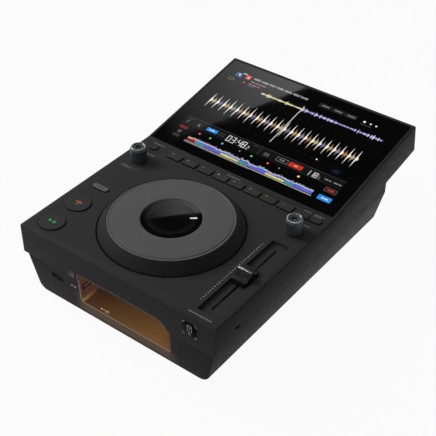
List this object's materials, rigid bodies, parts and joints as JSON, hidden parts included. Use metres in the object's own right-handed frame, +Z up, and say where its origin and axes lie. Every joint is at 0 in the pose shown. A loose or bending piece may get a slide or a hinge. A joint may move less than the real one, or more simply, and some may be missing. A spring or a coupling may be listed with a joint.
{
  "type": "tabletop media player",
  "caption": "Tabletop DJ media player with a jog wheel round a centre display, tilted touch screen, tempo fader, keys, knobs and a lit storage recess.",
  "frame": {"origin": "on the supporting surface, under the middle of the bounding box", "axes": "+X to the user's right, +Y from the user towards the screen and the rear sockets, +Z up"},
  "size_m": [0.25, 0.3724, 0.1156],
  "materials": {
    "case_plastic": "fine matt, dark grey",
    "lower_plastic": "fine matt, near black",
    "amber_plastic": "translucent amber, lit from inside",
    "jog_skirt_plastic": "matt black",
    "jog_aluminium": "satin, dark anodised",
    "jog_ring_metal": "polished edge",
    "black_glass": "gloss black",
    "knob_plastic": "satin, blue grey",
    "key_plastic": "satin, dark grey",
    "pale_key_plastic": "satin, light grey",
    "black_plastic": "satin black",
    "rubber": "matt",
    "steel": "zinc plated",
    "board_green": "solder mask",
    "socket_steel": "plated"
  },
  "bodies": {
    "case": {"upper_case": "case_plastic", "lower_case": "lower_plastic", "base_plate": "steel", "foot_front_left": "rubber", "foot_front_right": "rubber", "foot_rear_left": "rubber", "foot_rear_right": "rubber", "recess_lining": "amber_plastic", "screen_glass": "black_glass", "screen_display": "steel", "screen_bracket": "steel", "jog_lens": "black_glass", "jog_display": "black_plastic", "jog_spindle": "steel", "jog_bearing": "socket_steel", "jog_base": "steel", "tempo_track": "steel", "level_pot": "black_plastic", "select_encoder": "black_plastic", "key_board_left": "board_green", "key_board_rear": "board_green", "main_board": "board_green", "power_board": "board_green", "port_board": "board_green", "usb_port_front": "socket_steel", "usb_port_recess": "socket_steel", "power_inlet": "black_plastic", "power_switch": "black_plastic", "link_port": "socket_steel", "digital_jack": "black_plastic", "audio_jacks": "black_plastic"},
    "jog_wheel": {"jog_platter": "jog_skirt_plastic", "jog_top_plate": "jog_aluminium", "jog_ring": "jog_ring_metal", "jog_encoder_disc": "steel"},
    "tempo_fader": {"tempo_cap": "black_plastic", "tempo_slider": "black_plastic"},
    "level_control": {"level_knob": "knob_plastic", "level_shaft": "steel"},
    "select_push": {"select_plunger": "black_plastic"},
    "select_control": {"select_knob": "knob_plastic", "select_shaft": "steel"},
    "play_key": {"play_button": "key_plastic"},
    "cue_key": {"cue_button": "key_plastic"},
    "mode_key": {"mode_button": "pale_key_plastic"},
    "search_key": {"search_button": "key_plastic"},
    "shift_key_left": {"shift_button_left": "key_plastic"},
    "shift_key_right": {"shift_button_right": "key_plastic"},
    "pad_key_1": {"pad_button_1": "key_plastic"},
    "pad_key_2": {"pad_button_2": "key_plastic"},
    "pad_key_3": {"pad_button_3": "key_plastic"},
    "pad_key_4": {"pad_button_4": "key_plastic"},
    "pad_key_5": {"pad_button_5": "key_plastic"},
    "pad_key_6": {"pad_button_6": "key_plastic"},
    "pad_key_7": {"pad_button_7": "key_plastic"},
    "pad_key_8": {"pad_button_8": "key_plastic"},
    "stop_key": {"stop_button": "black_plastic"},
    "power_key": {"power_button": "black_plastic"}
  },
  "joints": [
    {"name": "jog_spin", "type": "hinge", "parent": "case", "child": "jog_wheel", "pos_m": [0, -0.09524, 0.0886], "axis": [0, 0, 1], "continuous": true},
    {"name": "tempo_slide", "type": "slide", "parent": "case", "child": "tempo_fader", "axis": [0, 1, 0], "range_m": [-0.049, 0.049]},
    {"name": "level_turn", "type": "hinge", "parent": "case", "child": "level_control", "pos_m": [-0.1024, -0.02694, 0.0886], "axis": [0, 0, 1], "range_deg": [-150, 150]},
    {"name": "select_press", "type": "slide", "parent": "case", "child": "select_push", "axis": [0, 0, -1], "range_m": [0, 0.0006], "stiffness_N_per_m": 600, "springref_m": -0.001},
    {"name": "select_spin", "type": "hinge", "parent": "select_push", "child": "select_control", "pos_m": [0.1024, -0.02694, 0.0886], "axis": [0, 0, 1], "continuous": true},
    {"name": "play_press", "type": "slide", "parent": "case", "child": "play_key", "axis": [0, 0, -1], "range_m": [0, 0.0012], "stiffness_N_per_m": 500, "springref_m": -0.001},
    {"name": "cue_press", "type": "slide", "parent": "case", "child": "cue_key", "axis": [0, 0, -1], "range_m": [0, 0.0012], "stiffness_N_per_m": 500, "springref_m": -0.001},
    {"name": "mode_press", "type": "slide", "parent": "case", "child": "mode_key", "axis": [0, 0, -1], "range_m": [0, 0.0012], "stiffness_N_per_m": 400, "springref_m": -0.001},
    {"name": "search_press", "type": "slide", "parent": "case", "child": "search_key", "axis": [0, 0, -1], "range_m": [0, 0.0012], "stiffness_N_per_m": 400, "springref_m": -0.001},
    {"name": "shift_left_press", "type": "slide", "parent": "case", "child": "shift_key_left", "axis": [0, 0, -1], "range_m": [0, 0.0012], "stiffness_N_per_m": 400, "springref_m": -0.001},
    {"name": "shift_right_press", "type": "slide", "parent": "case", "child": "shift_key_right", "axis": [0, 0, -1], "range_m": [0, 0.0012], "stiffness_N_per_m": 400, "springref_m": -0.001},
    {"name": "pad_1_press", "type": "slide", "parent": "case", "child": "pad_key_1", "axis": [0, 0, -1], "range_m": [0, 0.0012], "stiffness_N_per_m": 400, "springref_m": -0.001},
    {"name": "pad_2_press", "type": "slide", "parent": "case", "child": "pad_key_2", "axis": [0, 0, -1], "range_m": [0, 0.0012], "stiffness_N_per_m": 400, "springref_m": -0.001},
    {"name": "pad_3_press", "type": "slide", "parent": "case", "child": "pad_key_3", "axis": [0, 0, -1], "range_m": [0, 0.0012], "stiffness_N_per_m": 400, "springref_m": -0.001},
    {"name": "pad_4_press", "type": "slide", "parent": "case", "child": "pad_key_4", "axis": [0, 0, -1], "range_m": [0, 0.0012], "stiffness_N_per_m": 400, "springref_m": -0.001},
    {"name": "pad_5_press", "type": "slide", "parent": "case", "child": "pad_key_5", "axis": [0, 0, -1], "range_m": [0, 0.0012], "stiffness_N_per_m": 400, "springref_m": -0.001},
    {"name": "pad_6_press", "type": "slide", "parent": "case", "child": "pad_key_6", "axis": [0, 0, -1], "range_m": [0, 0.0012], "stiffness_N_per_m": 400, "springref_m": -0.001},
    {"name": "pad_7_press", "type": "slide", "parent": "case", "child": "pad_key_7", "axis": [0, 0, -1], "range_m": [0, 0.0012], "stiffness_N_per_m": 400, "springref_m": -0.001},
    {"name": "pad_8_press", "type": "slide", "parent": "case", "child": "pad_key_8", "axis": [0, 0, -1], "range_m": [0, 0.0012], "stiffness_N_per_m": 400, "springref_m": -0.001},
    {"name": "stop_press", "type": "slide", "parent": "case", "child": "stop_key", "axis": [0, 1, 0], "range_m": [0, 0.0008], "stiffness_N_per_m": 400, "springref_m": -0.001},
    {"name": "power_press", "type": "slide", "parent": "case", "child": "power_key", "axis": [0, -1, 0], "range_m": [0, 0.002], "stiffness_N_per_m": 500, "springref_m": -0.001}
  ]
}
